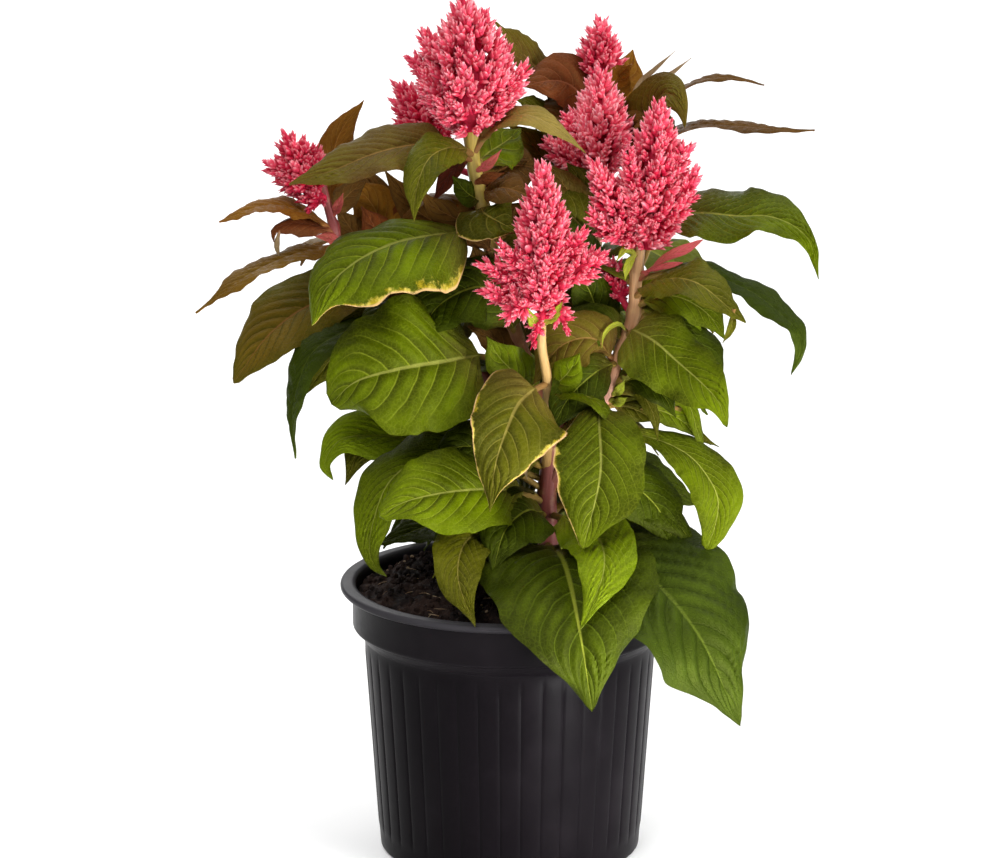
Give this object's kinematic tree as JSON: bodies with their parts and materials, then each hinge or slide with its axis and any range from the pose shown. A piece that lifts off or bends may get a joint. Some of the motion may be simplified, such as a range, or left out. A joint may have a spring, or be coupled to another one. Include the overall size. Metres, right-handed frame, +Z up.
{
  "type": "potted plume celosia",
  "caption": "Potted plume celosia: a bushy flowering plant with feathery upright pink plumes and broad green leaves, in a black ribbed nursery pot.",
  "frame": {"origin": "middle of the pot's foot, on the surface that the pot stands on", "axes": "+Z up, +X to the right and -Y towards the side that the picture shows"},
  "size_m": [0.2171, 0.1525, 0.3061],
  "materials": {
    "pot": "black injection-moulded polypropylene, satin, fine vertical ribs",
    "soil": "dark moist peat compost, crumbly, with small pale fibres",
    "stem": "smooth green to tan and reddish flower stem",
    "plume": "coral pink feathery florets with silvery tips",
    "leaf": "green to bronze leaf, satin, paler veins, some cream margins"
  },
  "bodies": {
    "root": {"pot": "pot", "soil": "soil", "stem_main": "stem", "stem_right": "stem", "stem_front": "stem", "stem_left": "stem", "stem_middle": "stem", "stem_back": "stem", "plume_tall": "plume", "plume_tall_side": "plume", "plume_front": "plume", "plume_middle": "plume", "plume_back": "plume", "plume_right": "plume", "plume_inner": "plume", "plume_left": "plume", "leaf_left_1": "leaf", "leaf_left_2": "leaf", "leaf_left_3": "leaf", "leaf_left_4": "leaf", "leaf_left_5": "leaf", "leaf_left_6": "leaf", "leaf_left_7": "leaf", "leaf_main_1": "leaf", "leaf_main_2": "leaf", "leaf_main_3": "leaf", "leaf_main_4": "leaf", "leaf_main_5": "leaf", "leaf_main_6": "leaf", "leaf_main_7": "leaf", "leaf_main_8": "leaf", "leaf_main_9": "leaf", "leaf_main_10": "leaf", "leaf_main_11": "leaf", "leaf_main_12": "leaf", "leaf_main_13": "leaf", "leaf_main_14": "leaf", "leaf_main_15": "leaf", "leaf_main_16": "leaf", "leaf_main_17": "leaf", "leaf_main_18": "leaf", "leaf_right_1": "leaf", "leaf_right_2": "leaf", "leaf_right_3": "leaf", "leaf_right_4": "leaf", "leaf_right_5": "leaf", "leaf_right_6": "leaf", "leaf_right_7": "leaf", "leaf_right_8": "leaf", "leaf_front_1": "leaf", "leaf_middle_1": "leaf", "leaf_middle_2": "leaf", "leaf_back_1": "leaf", "leaf_back_2": "leaf", "leaf_back_3": "leaf", "leaf_back_4": "leaf", "leaf_back_5": "leaf", "leaf_back_6": "leaf", "leaf_back_7": "leaf", "leaf_back_8": "leaf"}
  },
  "joints": []
}
